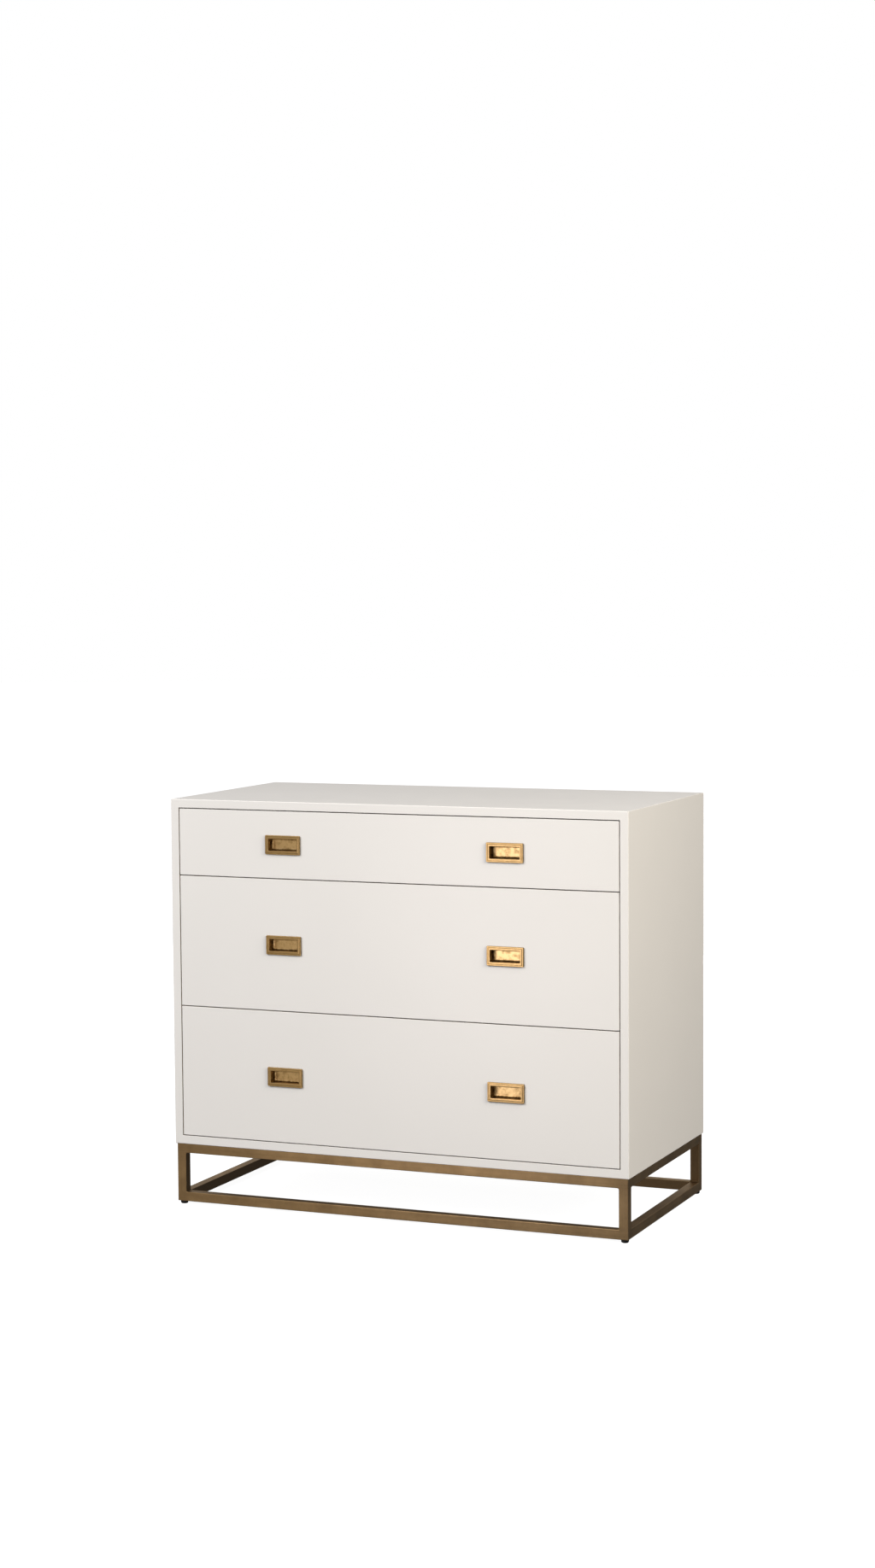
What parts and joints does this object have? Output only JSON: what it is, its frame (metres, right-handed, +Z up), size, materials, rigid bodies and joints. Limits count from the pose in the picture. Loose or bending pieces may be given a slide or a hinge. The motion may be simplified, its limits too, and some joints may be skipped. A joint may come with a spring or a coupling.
{
  "type": "chest of drawers",
  "caption": "Lacquered chest with inset drawers, flush rectangular brass pulls and an open square-tube metal base.",
  "frame": {"origin": "on the floor under the centre of the whole, pulls included", "axes": "+Z up, -Y out of the drawer fronts, +X to the right as seen from the front"},
  "size_m": [1.016, 0.504, 0.866],
  "materials": {
    "case_lacquer": "off-white satin lacquer on fibreboard",
    "front_lacquer": "off-white satin lacquer on fibreboard",
    "back_board": "off-white painted thin board",
    "rail_wood": "clear-finished solid wood",
    "drawer_wood": "clear-finished pale wood",
    "drawer_bottom_wood": "clear-finished birch plywood",
    "dowel_wood": "plain fluted dowel",
    "frame_brass": "brushed antique brass plating on steel tube",
    "cast_brass": "aged cast brass with rubbed edges",
    "slide_steel": "bright zinc plating",
    "ball_cage_steel": "plain steel, greased",
    "screw_steel": "zinc plated",
    "glide_plastic": "black"
  },
  "bodies": {
    "case": {"top_panel": "case_lacquer", "bottom_panel": "case_lacquer", "left_side_panel": "case_lacquer", "right_side_panel": "case_lacquer", "back_panel": "back_board", "upper_rail": "rail_wood", "lower_rail": "rail_wood", "case_dowels": "dowel_wood", "case_screws": "screw_steel", "slide_case_channels": "slide_steel", "base_top_front_tube": "frame_brass", "base_top_back_tube": "frame_brass", "base_top_left_tube": "frame_brass", "base_top_right_tube": "frame_brass", "base_bottom_front_tube": "frame_brass", "base_bottom_back_tube": "frame_brass", "base_bottom_left_tube": "frame_brass", "base_bottom_right_tube": "frame_brass", "base_legs": "frame_brass", "base_screws": "screw_steel", "floor_glides": "glide_plastic"},
    "top_drawer": {"top_drawer_front": "front_lacquer", "top_drawer_box_front": "drawer_wood", "top_drawer_box_back": "drawer_wood", "top_drawer_box_left_side": "drawer_wood", "top_drawer_box_right_side": "drawer_wood", "top_drawer_box_bottom": "drawer_bottom_wood", "top_drawer_left_pull": "cast_brass", "top_drawer_right_pull": "cast_brass", "top_drawer_screws": "screw_steel", "top_drawer_slide_members": "slide_steel"},
    "top_slide_middles": {"top_drawer_slide_middles": "slide_steel"},
    "top_outer_cages": {"top_drawer_outer_ball_cages": "ball_cage_steel"},
    "top_inner_cages": {"top_drawer_inner_ball_cages": "ball_cage_steel"},
    "middle_drawer": {"middle_drawer_front": "front_lacquer", "middle_drawer_box_front": "drawer_wood", "middle_drawer_box_back": "drawer_wood", "middle_drawer_box_left_side": "drawer_wood", "middle_drawer_box_right_side": "drawer_wood", "middle_drawer_box_bottom": "drawer_bottom_wood", "middle_drawer_left_pull": "cast_brass", "middle_drawer_right_pull": "cast_brass", "middle_drawer_screws": "screw_steel", "middle_drawer_slide_members": "slide_steel"},
    "middle_slide_middles": {"middle_drawer_slide_middles": "slide_steel"},
    "middle_outer_cages": {"middle_drawer_outer_ball_cages": "ball_cage_steel"},
    "middle_inner_cages": {"middle_drawer_inner_ball_cages": "ball_cage_steel"},
    "bottom_drawer": {"bottom_drawer_front": "front_lacquer", "bottom_drawer_box_front": "drawer_wood", "bottom_drawer_box_back": "drawer_wood", "bottom_drawer_box_left_side": "drawer_wood", "bottom_drawer_box_right_side": "drawer_wood", "bottom_drawer_box_bottom": "drawer_bottom_wood", "bottom_drawer_left_pull": "cast_brass", "bottom_drawer_right_pull": "cast_brass", "bottom_drawer_screws": "screw_steel", "bottom_drawer_slide_members": "slide_steel"},
    "bottom_slide_middles": {"bottom_drawer_slide_middles": "slide_steel"},
    "bottom_outer_cages": {"bottom_drawer_outer_ball_cages": "ball_cage_steel"},
    "bottom_inner_cages": {"bottom_drawer_inner_ball_cages": "ball_cage_steel"}
  },
  "joints": [
    {"name": "top_drawer_slide", "type": "slide", "parent": "case", "child": "top_drawer", "axis": [0, -1, 0], "range_m": [0, 0.44]},
    {"name": "top_slide_middles_run", "type": "slide", "parent": "case", "child": "top_slide_middles", "axis": [0, -1, 0], "range_m": [0, 0.22]},
    {"name": "top_outer_cages_run", "type": "slide", "parent": "case", "child": "top_outer_cages", "axis": [0, -1, 0], "range_m": [0, 0.11]},
    {"name": "top_inner_cages_run", "type": "slide", "parent": "case", "child": "top_inner_cages", "axis": [0, -1, 0], "range_m": [0, 0.33]},
    {"name": "middle_drawer_slide", "type": "slide", "parent": "case", "child": "middle_drawer", "axis": [0, -1, 0], "range_m": [0, 0.44]},
    {"name": "middle_slide_middles_run", "type": "slide", "parent": "case", "child": "middle_slide_middles", "axis": [0, -1, 0], "range_m": [0, 0.22]},
    {"name": "middle_outer_cages_run", "type": "slide", "parent": "case", "child": "middle_outer_cages", "axis": [0, -1, 0], "range_m": [0, 0.11]},
    {"name": "middle_inner_cages_run", "type": "slide", "parent": "case", "child": "middle_inner_cages", "axis": [0, -1, 0], "range_m": [0, 0.33]},
    {"name": "bottom_drawer_slide", "type": "slide", "parent": "case", "child": "bottom_drawer", "axis": [0, -1, 0], "range_m": [0, 0.44]},
    {"name": "bottom_slide_middles_run", "type": "slide", "parent": "case", "child": "bottom_slide_middles", "axis": [0, -1, 0], "range_m": [0, 0.22]},
    {"name": "bottom_outer_cages_run", "type": "slide", "parent": "case", "child": "bottom_outer_cages", "axis": [0, -1, 0], "range_m": [0, 0.11]},
    {"name": "bottom_inner_cages_run", "type": "slide", "parent": "case", "child": "bottom_inner_cages", "axis": [0, -1, 0], "range_m": [0, 0.33]}
  ],
  "couplings": [
    {"joint": "top_slide_middles_run", "follows": "top_drawer_slide", "ratio": 0.5},
    {"joint": "top_outer_cages_run", "follows": "top_drawer_slide", "ratio": 0.25},
    {"joint": "top_inner_cages_run", "follows": "top_drawer_slide", "ratio": 0.75},
    {"joint": "middle_slide_middles_run", "follows": "middle_drawer_slide", "ratio": 0.5},
    {"joint": "middle_outer_cages_run", "follows": "middle_drawer_slide", "ratio": 0.25},
    {"joint": "middle_inner_cages_run", "follows": "middle_drawer_slide", "ratio": 0.75},
    {"joint": "bottom_slide_middles_run", "follows": "bottom_drawer_slide", "ratio": 0.5},
    {"joint": "bottom_outer_cages_run", "follows": "bottom_drawer_slide", "ratio": 0.25},
    {"joint": "bottom_inner_cages_run", "follows": "bottom_drawer_slide", "ratio": 0.75}
  ]
}
